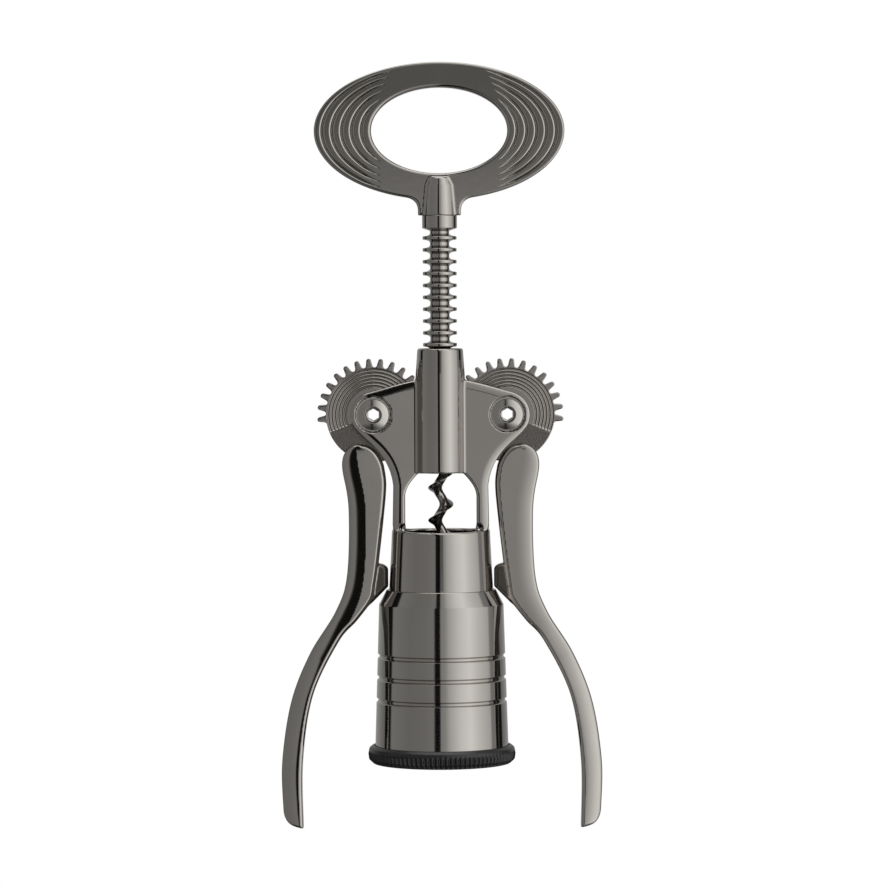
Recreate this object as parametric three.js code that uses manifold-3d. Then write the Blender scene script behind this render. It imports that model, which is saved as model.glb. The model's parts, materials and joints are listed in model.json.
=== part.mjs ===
// Double-lever corkscrew: a cast frame with a bell that sits on the bottle, a ring-handled
// spindle with annular rack ridges, and two levers whose gear sectors mesh with the ridges.
//
// Frame of reference, in millimetres: +Z runs up the spindle axis, -Y is the front, and the
// origin is the centre of the bell's mouth, on the plane of the rubber ring's bottom face.

import * as THREE from 'three';
import { mergeVertices } from 'three/addons/utils/BufferGeometryUtils.js';
import Module from 'manifold-3d';

const wasm = await Module();
wasm.setup();

// ---------------------------------------------------------------- driving dimensions

const RUNNING_GAP = 0.15; // radial gap where one round piece sits in another
const FACE_GAP = 0.1; // gap where two flat faces meet
const ROUND_SIDES = 32;
const SMALL_ROUND_SIDES = 20;

const PIVOT = { x: 23.55, z: 122.9 }; // lever hinge axes, which run along Y

const RACK = {
  pitch: 4.1666,
  firstRidgeZ: 184.9,
  ridgeCount: 18,
  ridgeRadius: 6.0,
  rootRadius: 3.38,
  collarRadius: 6.13,
  collarBottom: 188.3,
  top: 192.7,
  bottom: 104.8,
  guideTop: 111.4, // the plain guided end runs from the bottom up to here
  studRadius: 2.6,
  studTop: 201,
};

const GEAR = {
  teeth: 28, // of a full circle
  firstTooth: -2, // tooth numbers around the sector, counted away from the rack
  lastTooth: 14,
  phase: THREE.MathUtils.degToRad(-1.54), // turn of the teeth that meets the ridges at rest
  rootRadius: 16.65,
  tipRadius: 19.75,
  halfThickness: 2.7,
  eyeRadius: 5.1,
  flangeRecessRadius: 7.2,
  flangeRecessFace: 2.1,
};

const FRAME = {
  wingHalfThickness: 5.4,
  wingBevel: 1.0,
  slotHalfWidth: 3.0,
  slotRadius: 20.6,
  earRadius: 8.0,
  columnTop: 146.1,
  columnBottom: 102.2,
  columnRadius: 8.25,
  columnTopRadius: 7.9,
  columnRoundOffset: 4.0, // the half-round front and back are centred this far from the axis
  columnShoulderHalf: 8.7,
  columnShoulderZ: 136,
  boreRadius: 6.4,
  bushSeatRadius: 7.25,
  bushSeatDepth: 7.0,
  windowHalf: 12.55,
  windowBottom: 81.7,
  barrelTopRadius: 17.2,
  barrelRadius: 18.3,
  barrelFlareZ: 61.5,
  barrelBottom: 50,
  barrelBore: 14.6,
};

const BOLT = {
  headRadius: 5.9,
  seatRadius: 6.3,
  seatDepth: 1.2,
  shankRadius: 3.5,
  holeRadius: 3.68,
  hexAcrossFlats: 4.0,
  dishRadius: 4.9,
  dishDepth: 0.7,
};

const BUSH = { bore: 3.62, radius: 5.0, flangeRadius: 7.0, flangeThickness: 0.6 };

const BELL = {
  topZ: 61.2,
  topRadius: 19.25,
  shoulderZ: 56.0,
  shoulderRadius: 21.94,
  bottomRadius: 23.6,
  bottomZ: 2.3,
  bore: 20.9,
  boreTopZ: 50.2,
  grooveZ: [37.9, 30.3, 22.4],
  grooveWidth: 1.6,
  grooveDepth: 0.5,
};

const RING = { top: 6.3, radius: 26.0, bulgeZ: 3.2, bottomRadius: 24.2, lipRadius: 19.0, lipTop: 2.1 };

const CUP = { bottom: 3.7, top: 34, radius: 20.3, mouth: 16.5, throat: 14.6, shoulderZ: 31, hole: 12 };

const SPRING = { bottom: 34.2, top: 49.8, radius: 16.6, wire: 1.2, turns: 3.25 };

const HANDLE = {
  centreZ: 222.4,
  halfWidth: 43.96,
  halfHeight: 24.15,
  holeCentreZ: 222.6,
  holeHalfWidth: 23.9,
  holeHalfHeight: 15.0,
  halfThickness: 2.8,
  bevel: 0.9,
  hubBottom: 192.8,
  neckHalfWidth: 7.56,
  neckFilletZ: 196.2,
  neckEnd: { x: 15.4, z: 199.9 },
  bossBottomRadius: 5.9,
  bossTopRadius: 4.5,
  bossTop: 205.5,
};

const WORM = {
  top: 125,
  shankRadius: 2.2,
  shankBottom: 101.5,
  bladeTop: 104.2,
  tip: 36,
  pitch: 11.46,
  peakZ: 97.0, // the blade's outer edge points to -X at this height
  edgeRadius: 4.4,
  tipRadius: 3.4,
  // half of the blade's section across the axis, from its edge round to its back
  section: [[4.38, 0.12], [2.6, 1.0], [1.3, 1.38], [0.4, 1.15], [0, 0.5]],
};

const LEVER = {
  halfThickness: 4.6,
  bevel: 1.2,
  stopX: 18.65, // the stop knob's face, just clear of the barrel
};

// ---------------------------------------------------------------- colours

const metal = (color, roughness) =>
  new THREE.MeshStandardMaterial({ color, roughness, metalness: 1 });

const MATERIAL = {
  casting: metal(0x6e6963, 0.16),
  turned: metal(0x77716a, 0.2),
  worm: metal(0x4a4643, 0.2),
  bolt: metal(0x7b756e, 0.3),
  bush: metal(0x8c6f3f, 0.45),
  spring: metal(0x9a9a98, 0.3),
  cup: new THREE.MeshStandardMaterial({ color: 0x202020, roughness: 0.55, metalness: 0 }),
  rubber: new THREE.MeshStandardMaterial({ color: 0x141414, roughness: 0.7, metalness: 0 }),
};

// ---------------------------------------------------------------- geometry helpers

const group = new THREE.Group();

function addPiece(name, geometry, material) {
  const mesh = new THREE.Mesh(geometry, material);
  mesh.name = name;
  group.add(mesh);
}

// A solid of revolution about Z from a closed profile of [radius, z] points.
function turned(profile, segments = ROUND_SIDES) {
  const points = profile.map(([radius, z]) => new THREE.Vector2(radius, z));
  return new THREE.LatheGeometry(points, segments).rotateX(Math.PI / 2);
}

// A turned piece with a hole through it: the profile is closed back to its first point.
function turnedRing(profile, segments = ROUND_SIDES) {
  return turned([...profile, profile[0]], segments);
}

// A plate from an outline in X and Z, centred on the Y = 0 plane.
function plate(shape, halfThickness, bevel = 0, curveSegments = 6) {
  const geometry = new THREE.ExtrudeGeometry(shape, {
    depth: 2 * (halfThickness - bevel),
    bevelEnabled: bevel > 0,
    bevelThickness: bevel,
    bevelSize: bevel,
    bevelOffset: -bevel,
    bevelSegments: 1,
    curveSegments,
  });
  return geometry.translate(0, 0, bevel - halfThickness).rotateX(Math.PI / 2);
}

// A round bar along Y.
function barY(radius, yFrom, yTo, x, z, segments = SMALL_ROUND_SIDES) {
  const bar = new THREE.CylinderGeometry(radius, radius, yTo - yFrom, segments);
  return bar.translate(x, (yFrom + yTo) / 2, z);
}

// A round bar along Z.
function barZ(radius, zFrom, zTo, segments = ROUND_SIDES) {
  return turned([[0, zFrom], [radius, zFrom], [radius, zTo], [0, zTo]], segments);
}

// A closed solid through rings of points, each listed clockwise as seen from the ring after it.
function skinned(rings) {
  const count = rings[0].length;
  const positions = rings.flat().flatMap((p) => [p.x, p.y, p.z]);
  const index = [];
  for (let i = 0; i + 1 < rings.length; i++) {
    for (let j = 0; j < count; j++) {
      const a = i * count + j;
      const b = i * count + ((j + 1) % count);
      index.push(a, b + count, b, a, a + count, b + count);
    }
  }
  const last = (rings.length - 1) * count;
  for (let j = 1; j + 1 < count; j++) {
    index.push(0, j, j + 1);
    index.push(last, last + j + 1, last + j);
  }
  const geometry = new THREE.BufferGeometry();
  geometry.setAttribute('position', new THREE.Float32BufferAttribute(positions, 3));
  geometry.setIndex(index);
  return geometry;
}

function toSolid(geometry) {
  const bare = geometry.clone();
  bare.deleteAttribute('normal');
  bare.deleteAttribute('uv');
  const merged = mergeVertices(bare, 1e-4);
  const corners = merged.index.array;
  const triangles = [];
  for (let i = 0; i < corners.length; i += 3) {
    const [a, b, c] = corners.subarray(i, i + 3);
    if (a !== b && b !== c && c !== a) triangles.push(a, b, c);
  }
  return new wasm.Manifold(new wasm.Mesh({
    numProp: 3,
    vertProperties: new Float32Array(merged.attributes.position.array),
    triVerts: new Uint32Array(triangles),
  }));
}

// Joins every geometry in `added`, then cuts away every geometry in `removed`.
function carve(added, removed = []) {
  let solid = toSolid(added[0]);
  for (const geometry of added.slice(1)) solid = solid.add(toSolid(geometry));
  for (const geometry of removed) solid = solid.subtract(toSolid(geometry));
  const result = solid.getMesh();
  const geometry = new THREE.BufferGeometry();
  geometry.setAttribute('position', new THREE.BufferAttribute(result.vertProperties, 3));
  geometry.setIndex(new THREE.BufferAttribute(result.triVerts, 1));
  return geometry;
}

// Turns a right-hand piece into its left-hand twin across the X = 0 plane.
function mirrored(geometry) {
  const twin = geometry.index ? geometry.toNonIndexed() : geometry.clone();
  twin.scale(-1, 1, 1);
  const position = twin.attributes.position;
  const corner = (i) => new THREE.Vector3().fromBufferAttribute(position, i);
  for (let i = 0; i < position.count; i += 3) {
    const second = corner(i + 1);
    const third = corner(i + 2);
    position.setXYZ(i + 1, third.x, third.y, third.z);
    position.setXYZ(i + 2, second.x, second.y, second.z);
  }
  return twin;
}

const onCircle = (centre, radius, angle) =>
  new THREE.Vector2(centre.x + radius * Math.cos(angle), centre.z + radius * Math.sin(angle));

// ---------------------------------------------------------------- frame casting

// Wings, ears and the two arms beside the window, seen from the front.
function wingOutline() {
  const { earRadius, barrelTopRadius, windowBottom } = FRAME;
  const shape = new THREE.Shape();
  const earFrom = 1.36;
  const earTo = -0.78;
  const side = (sign) => (x, z) => [sign * x, z];
  const right = side(1);
  const left = side(-1);
  const armFoot = windowBottom - 6;
  const earTop = onCircle(PIVOT, earRadius, earFrom);
  const earLow = onCircle(PIVOT, earRadius, earTo);
  shape.moveTo(...right(8.4, 135.0));
  shape.quadraticCurveTo(...right(15, 134.0), ...right(earTop.x, earTop.y));
  shape.absarc(PIVOT.x, PIVOT.z, earRadius, earFrom, earTo, true);
  shape.bezierCurveTo(...right(25.5, 112.5), ...right(18.0, 109.5), ...right(16.7, 98));
  shape.lineTo(...right(barrelTopRadius, windowBottom));
  shape.lineTo(...right(barrelTopRadius, armFoot));
  shape.lineTo(...left(barrelTopRadius, armFoot));
  shape.lineTo(...left(barrelTopRadius, windowBottom));
  shape.lineTo(...left(16.7, 98));
  shape.bezierCurveTo(...left(18.0, 109.5), ...left(25.5, 112.5), ...left(earLow.x, earLow.y));
  shape.absarc(-PIVOT.x, PIVOT.z, earRadius, Math.PI - earTo, Math.PI - earFrom, true);
  shape.quadraticCurveTo(...left(15, 134.0), ...left(8.4, 135.0));
  shape.closePath();
  return shape;
}

// The window between the column's foot and the barrel's rim.
function windowOutline() {
  const { windowHalf, windowBottom, columnBottom } = FRAME;
  const corner = 2.5;
  const shape = new THREE.Shape();
  shape.moveTo(-windowHalf + corner, windowBottom);
  shape.lineTo(windowHalf - corner, windowBottom);
  shape.quadraticCurveTo(windowHalf, windowBottom, windowHalf, windowBottom + corner);
  shape.lineTo(windowHalf, columnBottom - 8.5);
  shape.bezierCurveTo(windowHalf, columnBottom - 5, 10.4, columnBottom - 2.6, 8.0, columnBottom);
  shape.lineTo(-8.0, columnBottom);
  shape.bezierCurveTo(
    -10.4, columnBottom - 2.6,
    -windowHalf, columnBottom - 5,
    -windowHalf, columnBottom - 8.5,
  );
  shape.lineTo(-windowHalf, windowBottom + corner);
  shape.quadraticCurveTo(-windowHalf, windowBottom, -windowHalf + corner, windowBottom);
  return shape;
}

// The column's flat-sided middle, between its half-round front and back.
function columnMiddleOutline() {
  const { columnTop, columnTopRadius, columnShoulderHalf, columnShoulderZ, columnBottom } = FRAME;
  const shape = new THREE.Shape();
  shape.moveTo(-columnTopRadius, columnTop);
  shape.lineTo(-columnShoulderHalf, columnShoulderZ);
  shape.lineTo(-8.0, columnBottom);
  shape.lineTo(8.0, columnBottom);
  shape.lineTo(columnShoulderHalf, columnShoulderZ);
  shape.lineTo(columnTopRadius, columnTop);
  shape.closePath();
  return shape;
}

function bodyFrame() {
  const f = FRAME;
  const halfRound = (y) => turned([
    [0, f.columnBottom],
    [f.columnRadius, f.columnBottom],
    [f.columnRadius, f.columnTop - 8],
    [f.columnTopRadius, f.columnTop - 0.4],
    [f.columnTopRadius - 0.4, f.columnTop],
    [0, f.columnTop],
  ]).translate(0, y, 0);
  const barrel = turned([
    [0, f.barrelBottom],
    [f.barrelRadius, f.barrelBottom],
    [f.barrelRadius, f.barrelFlareZ],
    [f.barrelTopRadius, f.windowBottom],
    [0, f.windowBottom],
  ]);
  const added = [
    plate(wingOutline(), f.wingHalfThickness, f.wingBevel),
    plate(columnMiddleOutline(), f.columnRoundOffset),
    halfRound(-f.columnRoundOffset),
    halfRound(f.columnRoundOffset),
    barrel,
  ];
  const seatLow = f.columnBottom + f.bushSeatDepth;
  const seatHigh = f.columnTop - f.bushSeatDepth;
  const removed = [
    plate(windowOutline(), 30),
    barZ(f.barrelBore, f.barrelBottom - 1, f.windowBottom + 0.001),
    barZ(f.boreRadius, f.columnBottom - 1, f.columnTop + 1),
    barZ(f.bushSeatRadius, f.columnBottom - 1, seatLow),
    barZ(f.bushSeatRadius, seatHigh, f.columnTop + 1),
  ];
  const face = f.wingHalfThickness;
  for (const x of [-PIVOT.x, PIVOT.x]) {
    removed.push(barY(f.slotRadius, -f.slotHalfWidth, f.slotHalfWidth, x, PIVOT.z, ROUND_SIDES));
    removed.push(barY(BOLT.holeRadius, -face - 1, face + 1, x, PIVOT.z));
    removed.push(barY(BOLT.seatRadius, -face - 1, BOLT.seatDepth - face, x, PIVOT.z));
    removed.push(barY(BOLT.seatRadius, face - BOLT.seatDepth, face + 1, x, PIVOT.z));
  }
  return carve(added, removed);
}

addPiece('body_frame', bodyFrame(), MATERIAL.casting);

// ---------------------------------------------------------------- spindle guide bushes

function guideBush(zFrom, zTo) {
  const inner = RACK.ridgeRadius + RUNNING_GAP;
  const outer = FRAME.bushSeatRadius - RUNNING_GAP;
  return turnedRing([[inner, zFrom], [outer, zFrom], [outer, zTo], [inner, zTo]]);
}

const bushLength = FRAME.bushSeatDepth - 2 * FACE_GAP;
const lowerBushBottom = FRAME.columnBottom + FACE_GAP;
const upperBushTop = FRAME.columnTop - FACE_GAP;
addPiece('lower_guide_bush', guideBush(lowerBushBottom, lowerBushBottom + bushLength), MATERIAL.bush);
addPiece('upper_guide_bush', guideBush(upperBushTop - bushLength, upperBushTop), MATERIAL.bush);

// ---------------------------------------------------------------- pivot bolts, nuts and bushes

// The bolt's head is dished and its hexagon socket runs right through the shank.
function pivotBolt(x) {
  const face = FRAME.wingHalfThickness;
  const headInner = BOLT.seatDepth - face - FACE_GAP;
  const hexRadius = BOLT.hexAcrossFlats / Math.sqrt(3);
  const profile = [
    [0, -face + BOLT.dishDepth],
    [hexRadius + 0.5, -face + BOLT.dishDepth],
    [BOLT.dishRadius, -face],
    [BOLT.headRadius - 0.3, -face],
    [BOLT.headRadius, -face + 0.3],
    [BOLT.headRadius, headInner],
    [BOLT.shankRadius, headInner],
    [BOLT.shankRadius, face - 0.2],
    [0, face - 0.2],
  ];
  const points = profile.map(([radius, y]) => new THREE.Vector2(radius, y));
  const body = new THREE.LatheGeometry(points, SMALL_ROUND_SIDES).translate(x, 0, PIVOT.z);
  const hexagon = new THREE.CylinderGeometry(hexRadius, hexRadius, 4 * face, 6);
  hexagon.rotateY(Math.PI / 6).translate(x, 0, PIVOT.z);
  return carve([body], [hexagon]);
}

function pivotNut(x) {
  const face = FRAME.wingHalfThickness;
  const inner = BOLT.shankRadius + RUNNING_GAP;
  const back = face - BOLT.seatDepth + FACE_GAP;
  const points = [
    [inner, back],
    [BOLT.headRadius, back],
    [BOLT.headRadius, face - 0.3],
    [BOLT.headRadius - 0.3, face],
    [inner, face],
    [inner, back],
  ].map(([radius, y]) => new THREE.Vector2(radius, y));
  return new THREE.LatheGeometry(points, SMALL_ROUND_SIDES).translate(x, 0, PIVOT.z);
}

// A flanged bush in the lever's eye; `sign` is -1 for the front and +1 for the rear.
function leverBush(x, sign) {
  const outerFace = FRAME.slotHalfWidth - FACE_GAP;
  const flangeBack = outerFace - BUSH.flangeThickness;
  const points = [
    [BUSH.bore, FACE_GAP],
    [BUSH.radius, FACE_GAP],
    [BUSH.radius, flangeBack],
    [BUSH.flangeRadius, flangeBack],
    [BUSH.flangeRadius, outerFace],
    [BUSH.bore, outerFace],
    [BUSH.bore, FACE_GAP],
  ].map(([radius, y]) => new THREE.Vector2(radius, y));
  const bush = new THREE.LatheGeometry(points, SMALL_ROUND_SIDES);
  if (sign < 0) bush.rotateX(Math.PI);
  return bush.translate(x, 0, PIVOT.z);
}

for (const [side, x] of [['left', -PIVOT.x], ['right', PIVOT.x]]) {
  addPiece(`pivot_bolt_${side}`, pivotBolt(x), MATERIAL.bolt);
  addPiece(`pivot_nut_${side}`, pivotNut(x), MATERIAL.bolt);
  addPiece(`lever_bush_front_${side}`, leverBush(x, -1), MATERIAL.bush);
  addPiece(`lever_bush_rear_${side}`, leverBush(x, 1), MATERIAL.bush);
}

// ---------------------------------------------------------------- levers

// The gear sector of the right lever, with its rack side towards -X.
function gearOutline() {
  const { rootRadius, tipRadius } = GEAR;
  const step = (2 * Math.PI) / GEAR.teeth;
  const toothProfile = [
    [rootRadius, 1.2],
    [rootRadius + 1.9, 0.8],
    [tipRadius, 0.35],
  ]; // radius and half thickness, from root to tip
  const shape = new THREE.Shape();
  const at = (radius, angle) => onCircle(PIVOT, radius, angle);
  const place = (point, i) => (i ? shape.lineTo(point.x, point.y) : shape.moveTo(point.x, point.y));
  let placed = 0;
  for (let k = GEAR.firstTooth; k <= GEAR.lastTooth; k++) {
    const middle = Math.PI - ((k + 0.5) * step + GEAR.phase);
    const rising = toothProfile.map(([radius, half]) => at(radius, middle + half / radius));
    const falling = toothProfile.map(([radius, half]) => at(radius, middle - half / radius));
    for (const point of [...rising, ...falling.reverse()]) place(point, placed++);
  }
  const lastAngle = Math.PI - ((GEAR.lastTooth + 0.5) * step + GEAR.phase) - 1.2 / rootRadius;
  const firstAngle = Math.PI - ((GEAR.firstTooth + 0.5) * step + GEAR.phase) + 1.2 / rootRadius;
  shape.absarc(PIVOT.x, PIVOT.z, rootRadius, lastAngle, firstAngle - 2 * Math.PI, true);
  return shape;
}

// The right lever's arm: a rounded head under the ear, a stop knob, and a long outward sweep.
function armOutline() {
  const through = (...list) => list.map(([x, z]) => new THREE.Vector2(x, z));
  const shape = new THREE.Shape();
  shape.moveTo(28.3, 112.6);
  shape.bezierCurveTo(32.6, 112.6, 35.8, 109.2, 34.4, 102.2);
  shape.splineThru(through(
    [32.5, 89.5],
    [33.2, 66.3],
    [37.3, 53.6],
    [46.4, 38.8],
    [53.1, 21.9],
    [56.4, 0.7],
    [56.1, -16.2],
  ));
  shape.bezierCurveTo(55.7, -21.0, 53.4, -22.3, 48.8, -23.0);
  shape.splineThru(through([49.0, 0.7], [45.3, 24], [36.1, 43], [29.6, 51.5], [23.4, 57.4]));
  shape.lineTo(LEVER.stopX, 62.2);
  shape.lineTo(LEVER.stopX, 68.5);
  shape.quadraticCurveTo(19.4, 70.2, 21.9, 70.5);
  shape.splineThru(through([20.2, 85.3], [19.1, 98], [19.9, 105]));
  shape.bezierCurveTo(20.8, 107.9, 22.8, 111.6, 26.4, 112.45);
  return shape;
}

function rightLever() {
  const recess = (from, to) => barY(GEAR.flangeRecessRadius, from, to, PIVOT.x, PIVOT.z);
  const gearFace = GEAR.halfThickness;
  return carve(
    [plate(gearOutline(), gearFace, 0, 12), plate(armOutline(), LEVER.halfThickness, LEVER.bevel, 3)],
    [
      barY(GEAR.eyeRadius, -gearFace - 1, gearFace + 1, PIVOT.x, PIVOT.z),
      recess(-gearFace - 1, -GEAR.flangeRecessFace),
      recess(GEAR.flangeRecessFace, gearFace + 1),
    ],
  );
}

const lever = rightLever();
addPiece('lever_right', lever, MATERIAL.casting);
addPiece('lever_left', mirrored(lever), MATERIAL.casting);

// ---------------------------------------------------------------- spindle: rack, handle and worm

// A bar with annular ridges all along it, a collar and a threaded stud above, and a guided
// plain end below, bored for the worm's shank.
function rack() {
  const { rootRadius, ridgeRadius, collarRadius, collarBottom } = RACK;
  const ridge = [
    [rootRadius, -1.3],
    [ridgeRadius, -0.5],
    [ridgeRadius, 0.5],
    [rootRadius, 1.3],
  ]; // radius and height about the ridge's middle
  const bore = WORM.shankRadius + RUNNING_GAP;
  const profile = [
    [0, WORM.top + 0.3],
    [bore, WORM.top + 0.3],
    [bore, RACK.bottom],
    [ridgeRadius - 0.5, RACK.bottom],
    [ridgeRadius, RACK.bottom + 0.5],
    [ridgeRadius, RACK.guideTop - 0.5],
    [rootRadius, RACK.guideTop],
  ];
  for (let k = RACK.ridgeCount - 1; k >= 0; k--) {
    const middle = RACK.firstRidgeZ - k * RACK.pitch;
    for (const [radius, dz] of ridge) profile.push([radius, middle + dz]);
  }
  profile.push(
    [rootRadius, collarBottom - 0.9],
    [collarRadius, collarBottom],
    [collarRadius, RACK.top],
    [RACK.studRadius, RACK.top],
    [RACK.studRadius, RACK.studTop],
    [0, RACK.studTop],
  );
  return turned(profile, 16);
}

function ellipse(halfWidth, halfHeight, centreZ) {
  return new THREE.Shape().absellipse(0, centreZ, halfWidth, halfHeight, 0, 2 * Math.PI, false, 0);
}

function handle() {
  const h = HANDLE;
  const ring = ellipse(h.halfWidth, h.halfHeight, h.centreZ);
  ring.holes.push(ellipse(h.holeHalfWidth, h.holeHalfHeight, h.holeCentreZ));
  const neck = new THREE.Shape();
  neck.moveTo(-h.neckHalfWidth, h.hubBottom);
  neck.lineTo(h.neckHalfWidth, h.hubBottom);
  neck.lineTo(h.neckHalfWidth, h.neckFilletZ);
  neck.quadraticCurveTo(h.neckHalfWidth + 0.6, h.neckEnd.z - 0.4, h.neckEnd.x, h.neckEnd.z);
  neck.lineTo(h.neckEnd.x - 3, h.bossTop);
  neck.lineTo(3 - h.neckEnd.x, h.bossTop);
  neck.lineTo(-h.neckEnd.x, h.neckEnd.z);
  neck.quadraticCurveTo(-h.neckHalfWidth - 0.6, h.neckEnd.z - 0.4, -h.neckHalfWidth, h.neckFilletZ);
  neck.closePath();
  const boss = turned([
    [0, h.hubBottom],
    [h.bossBottomRadius, h.hubBottom],
    [h.bossTopRadius, h.bossTop - 1],
    [h.bossTopRadius - 1.2, h.bossTop],
    [0, h.bossTop],
  ], 24);
  const stud = barZ(RACK.studRadius + RUNNING_GAP, h.hubBottom - 1, RACK.studTop + 0.3, 24);
  return carve(
    [plate(ring, h.halfThickness, h.bevel, 28), plate(neck, h.halfThickness), boss],
    [stud],
  );
}

// A blade twisted about Z that grows out of a round shank and narrows to a point.
function worm() {
  const w = WORM;
  const stepsPerTurn = 12;
  const steps = Math.round(((w.bladeTop - w.tip) / w.pitch) * stepsPerTurn);
  const taperTurns = 0.8;
  const mirror = w.section.map(([along, across]) => [along, -across]).reverse();
  const section = [...mirror, ...w.section].reverse();
  const rings = [];
  for (let i = 0; i <= steps; i++) {
    const z = w.tip + ((w.bladeTop - w.tip) * i) / steps;
    const angle = Math.PI + (2 * Math.PI * (z - w.peakZ)) / w.pitch;
    const full = Math.min(1, 0.08 + i / (stepsPerTurn * taperTurns));
    rings.push(section.map(([along, across]) => {
      const u = THREE.MathUtils.lerp(w.tipRadius, along, full);
      const v = across * full;
      const x = u * Math.cos(angle) - v * Math.sin(angle);
      const y = u * Math.sin(angle) + v * Math.cos(angle);
      return new THREE.Vector3(x, y, z);
    }));
  }
  return carve([skinned(rings), barZ(w.shankRadius, w.shankBottom, w.top, 16)]);
}

addPiece('rack', rack(), MATERIAL.turned);
addPiece('handle', handle(), MATERIAL.casting);
addPiece('worm', worm(), MATERIAL.worm);

// ---------------------------------------------------------------- bell and centring cup

function bellSleeve() {
  const b = BELL;
  const slope = (b.bottomRadius - b.shoulderRadius) / (b.bottomZ - b.shoulderZ);
  const wallRadius = (z) => b.shoulderRadius + slope * (z - b.shoulderZ);
  const profile = [
    [b.topRadius, b.topZ],
    [b.shoulderRadius, b.shoulderZ],
  ];
  for (const z of b.grooveZ) {
    const half = b.grooveWidth / 2;
    profile.push(
      [wallRadius(z + half), z + half],
      [wallRadius(z) - b.grooveDepth, z + half * 0.6],
      [wallRadius(z) - b.grooveDepth, z - half * 0.6],
      [wallRadius(z - half), z - half],
    );
  }
  const barrelSeat = FRAME.barrelRadius + RUNNING_GAP;
  profile.push(
    [b.bottomRadius, b.bottomZ],
    [b.bore, b.bottomZ],
    [b.bore, b.boreTopZ],
    [barrelSeat, b.boreTopZ],
    [barrelSeat, b.topZ],
  );
  return turnedRing(profile.reverse());
}

function bellRing() {
  const r = RING;
  const sleeveSeat = BELL.bottomRadius + 0.12;
  return turnedRing([
    [r.lipRadius, 0],
    [r.bottomRadius, 0],
    [r.radius, r.bulgeZ],
    [r.radius - 0.5, r.top - 1],
    [r.radius - 1.4, r.top],
    [sleeveSeat, r.top],
    [sleeveSeat, r.lipTop],
    [r.lipRadius, r.lipTop],
  ]);
}

// The tapered cup that takes the bottle's lip and slides up inside the sleeve.
function centringCup() {
  const c = CUP;
  return turnedRing([
    [c.mouth, c.bottom],
    [c.radius, c.bottom],
    [c.radius, c.top - 1],
    [c.radius - 1, c.top],
    [c.hole, c.top],
    [c.hole, c.shoulderZ],
    [c.throat, c.shoulderZ],
  ]);
}

// A split ring sprung into the sleeve's mouth that keeps the cup in.
function cupRetainingRing() {
  const inner = 19.5;
  const outer = BELL.bore - RUNNING_GAP;
  const split = 0.12;
  const shape = new THREE.Shape();
  shape.absarc(0, 0, outer, split, 2 * Math.PI - split, false);
  shape.absarc(0, 0, inner, 2 * Math.PI - split, split, true);
  shape.closePath();
  const ring = new THREE.ExtrudeGeometry(shape, { depth: 0.8, bevelEnabled: false, curveSegments: 18 });
  return ring.translate(0, 0, 2.6);
}

// The spring between the cup's top and the barrel's end.
function cupSpring() {
  const s = SPRING;
  const stepsPerTurn = 10;
  const sides = 5;
  const bottom = s.bottom + s.wire / 2;
  const top = s.top - s.wire / 2;
  const steps = Math.round(s.turns * stepsPerTurn);
  const rings = [];
  for (let i = 0; i <= steps; i++) {
    const angle = (2 * Math.PI * i) / stepsPerTurn;
    const z = bottom + ((top - bottom) * i) / steps;
    rings.push(Array.from({ length: sides }, (_, j) => {
      const turn = (2 * Math.PI * j) / sides;
      const radius = s.radius + (s.wire / 2) * Math.cos(turn);
      const height = z + (s.wire / 2) * Math.sin(turn);
      return new THREE.Vector3(radius * Math.cos(angle), radius * Math.sin(angle), height);
    }));
  }
  return skinned(rings);
}

addPiece('bell_sleeve', bellSleeve(), MATERIAL.turned);
addPiece('bell_ring', bellRing(), MATERIAL.rubber);
addPiece('centring_cup', centringCup(), MATERIAL.cup);
addPiece('cup_retaining_ring', cupRetainingRing(), MATERIAL.spring);
addPiece('cup_spring', cupSpring(), MATERIAL.spring);

export default group;
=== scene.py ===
"""Looks for the double-lever corkscrew: fine meshes and black-chrome materials around the CAD frame.

Shapes are worked out in millimetres in the CAD frame and written in metres. +Z is up the spindle
axis and -Y is the front. Cast pieces are smooth distance fields turned into meshes, turned pieces
are rounded profiles swept round an axis, and the worm and the coil are skins over rings of points.
"""

import itertools
import json
import math

import bpy
import numpy as np
from mathutils import Matrix, Vector


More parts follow.
